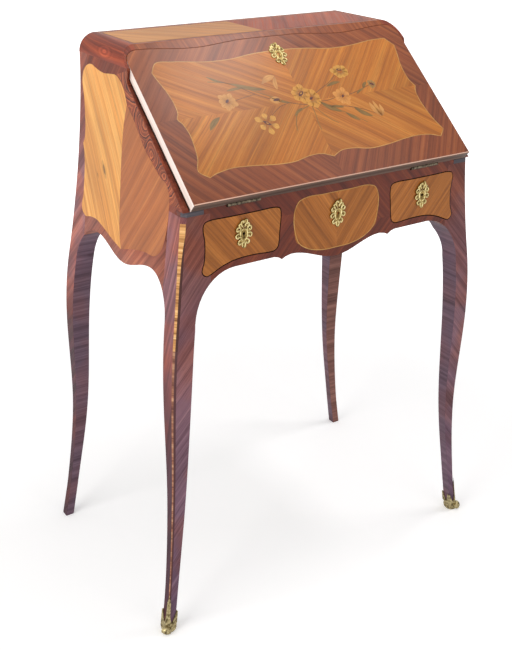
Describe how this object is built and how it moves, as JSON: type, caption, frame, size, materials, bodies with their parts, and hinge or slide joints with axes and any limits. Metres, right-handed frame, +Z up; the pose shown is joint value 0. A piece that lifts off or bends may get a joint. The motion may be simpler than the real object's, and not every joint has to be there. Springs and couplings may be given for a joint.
{
  "type": "lady's writing desk",
  "caption": "Slant-front lady's writing desk on cabriole legs with a hinged fall, two apron drawers, a sliding well cover, pigeonholes and small inner drawers",
  "frame": {"origin": "on the floor under the middle of the desk's overall box", "axes": "+Z up, the sloping fall and the drawers face -Y, +X to the right of someone looking along +Y at the front"},
  "size_m": [0.6894, 0.4106, 0.948],
  "materials": {
    "rosewood_veneer": "dark crossbanded rosewood veneer under french polish",
    "tulipwood_veneer": "light striped tulipwood veneer with flower marquetry under french polish",
    "oak": "plain oak carcass and linings, waxed",
    "ebonised_wood": "dark end blocks, polished",
    "gilt_bronze": "cast, chased and gilt, slightly worn",
    "brass": "plain brass, dull with age",
    "tooled_leather": "brown writing leather with a gilt tooled border"
  },
  "bodies": {
    "case": {"front_left_leg": "rosewood_veneer", "front_right_leg": "rosewood_veneer", "rear_left_leg": "rosewood_veneer", "rear_right_leg": "rosewood_veneer", "left_sabot": "gilt_bronze", "right_sabot": "gilt_bronze", "left_side_panel": "tulipwood_veneer", "right_side_panel": "tulipwood_veneer", "left_shoulder": "rosewood_veneer", "right_shoulder": "rosewood_veneer", "top_board": "tulipwood_veneer", "back_panel": "oak", "front_apron": "rosewood_veneer", "centre_veneer_panel": "tulipwood_veneer", "ledge_ends": "ebonised_wood", "writing_bed": "rosewood_veneer", "well_walls": "oak", "well_floor": "oak", "drawer_runners": "oak", "centre_escutcheon": "gilt_bronze", "fall_lock_keeper": "brass", "left_hinge_case_leaf": "brass", "left_hinge_pin": "brass", "right_hinge_case_leaf": "brass", "right_hinge_pin": "brass", "case_hinge_screws": "brass", "nest_dividers": "rosewood_veneer", "nest_shelves": "rosewood_veneer"},
    "fall": {"fall_panel": "tulipwood_veneer", "fall_leather": "tooled_leather", "fall_lock": "brass", "fall_escutcheon": "gilt_bronze", "left_hinge_fall_leaf": "brass", "right_hinge_fall_leaf": "brass", "fall_hinge_screws": "brass"},
    "fall_bolt": {"fall_bolt": "brass"},
    "left_drawer": {"left_drawer_front": "tulipwood_veneer", "left_drawer_sides": "oak", "left_drawer_back": "oak", "left_drawer_bottom": "oak", "left_drawer_lock": "brass", "left_drawer_escutcheon": "gilt_bronze"},
    "left_drawer_bolt": {"left_drawer_bolt": "brass"},
    "right_drawer": {"right_drawer_front": "tulipwood_veneer", "right_drawer_sides": "oak", "right_drawer_back": "oak", "right_drawer_bottom": "oak", "right_drawer_lock": "brass", "right_drawer_escutcheon": "gilt_bronze"},
    "right_drawer_bolt": {"right_drawer_bolt": "brass"},
    "well_cover": {"well_cover": "tulipwood_veneer"},
    "left_inner_drawer": {"left_inner_drawer_front": "tulipwood_veneer", "left_inner_drawer_tray": "oak", "left_inner_drawer_knob": "gilt_bronze"},
    "centre_inner_drawer": {"centre_inner_drawer_front": "tulipwood_veneer", "centre_inner_drawer_tray": "oak", "centre_inner_drawer_knob": "gilt_bronze"},
    "right_inner_drawer": {"right_inner_drawer_front": "tulipwood_veneer", "right_inner_drawer_tray": "oak", "right_inner_drawer_knob": "gilt_bronze"}
  },
  "joints": [
    {"name": "fall_hinge", "type": "hinge", "parent": "case", "child": "fall", "pos_m": [0, -0.17927, 0.737], "axis": [1, 0, 0], "range_deg": [0, 138.7]},
    {"name": "fall_bolt_slide", "type": "slide", "parent": "fall", "child": "fall_bolt", "axis": [0, 0.7513, 0.66], "range_m": [0, 0.006]},
    {"name": "left_drawer_slide", "type": "slide", "parent": "case", "child": "left_drawer", "axis": [0, -1, 0], "range_m": [0, 0.23]},
    {"name": "left_drawer_bolt_slide", "type": "slide", "parent": "left_drawer", "child": "left_drawer_bolt", "axis": [0, 0, 1], "range_m": [0, 0.0038]},
    {"name": "right_drawer_slide", "type": "slide", "parent": "case", "child": "right_drawer", "axis": [0, -1, 0], "range_m": [0, 0.23]},
    {"name": "right_drawer_bolt_slide", "type": "slide", "parent": "right_drawer", "child": "right_drawer_bolt", "axis": [0, 0, 1], "range_m": [0, 0.0038]},
    {"name": "well_cover_slide", "type": "slide", "parent": "case", "child": "well_cover", "axis": [0, 1, 0], "range_m": [0, 0.115]},
    {"name": "left_inner_drawer_slide", "type": "slide", "parent": "case", "child": "left_inner_drawer", "axis": [0, -1, 0], "range_m": [0, 0.065]},
    {"name": "centre_inner_drawer_slide", "type": "slide", "parent": "case", "child": "centre_inner_drawer", "axis": [0, -1, 0], "range_m": [0, 0.065]},
    {"name": "right_inner_drawer_slide", "type": "slide", "parent": "case", "child": "right_inner_drawer", "axis": [0, -1, 0], "range_m": [0, 0.065]}
  ]
}
